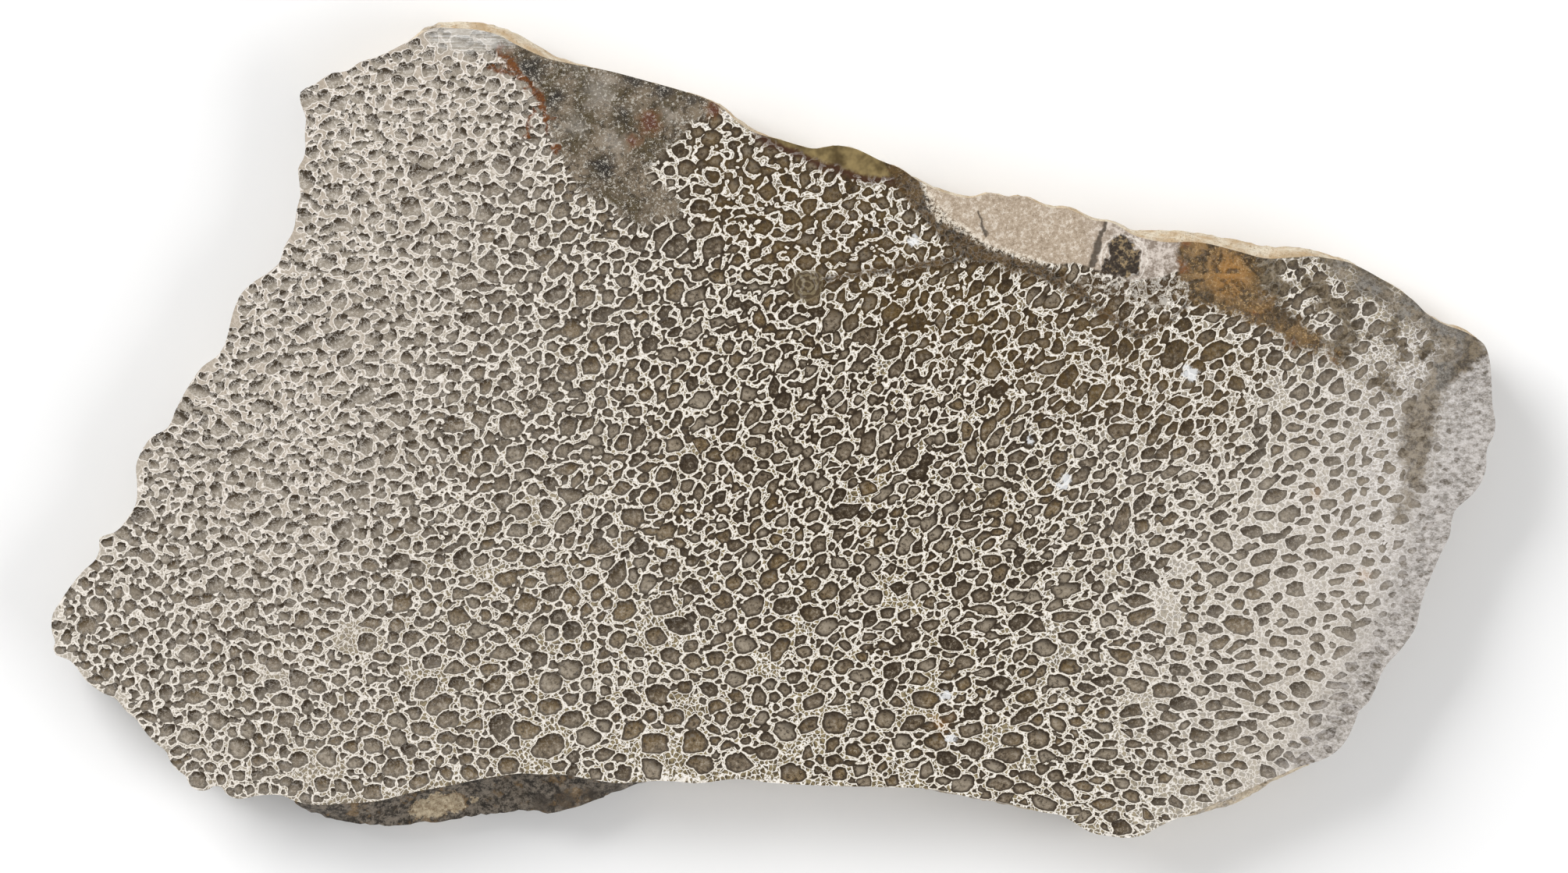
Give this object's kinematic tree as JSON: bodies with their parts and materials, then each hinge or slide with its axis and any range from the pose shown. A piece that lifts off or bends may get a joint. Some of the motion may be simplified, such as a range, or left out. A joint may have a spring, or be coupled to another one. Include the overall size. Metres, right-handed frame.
{
  "type": "dinosaur bone slab",
  "caption": "Thin slab sawn across agatised dinosaur bone, flat on both sides, with marrow cells in section and a rough unsawn rim.",
  "frame": {"origin": "centre of the outline's box, on the sawn back face that the slab rests on", "axes": "+X along the slab's length, towards the compact outer bone; +Y towards the edge with the old weathered surface; +Z out of the upper sawn face"},
  "size_m": [0.1484, 0.0842, 0.009],
  "materials": {
    "fossil_bone": "sawn and lightly polished, satin; rough and matt round the rim"
  },
  "bodies": {
    "root": {"bone_slab": "fossil_bone"}
  },
  "joints": []
}
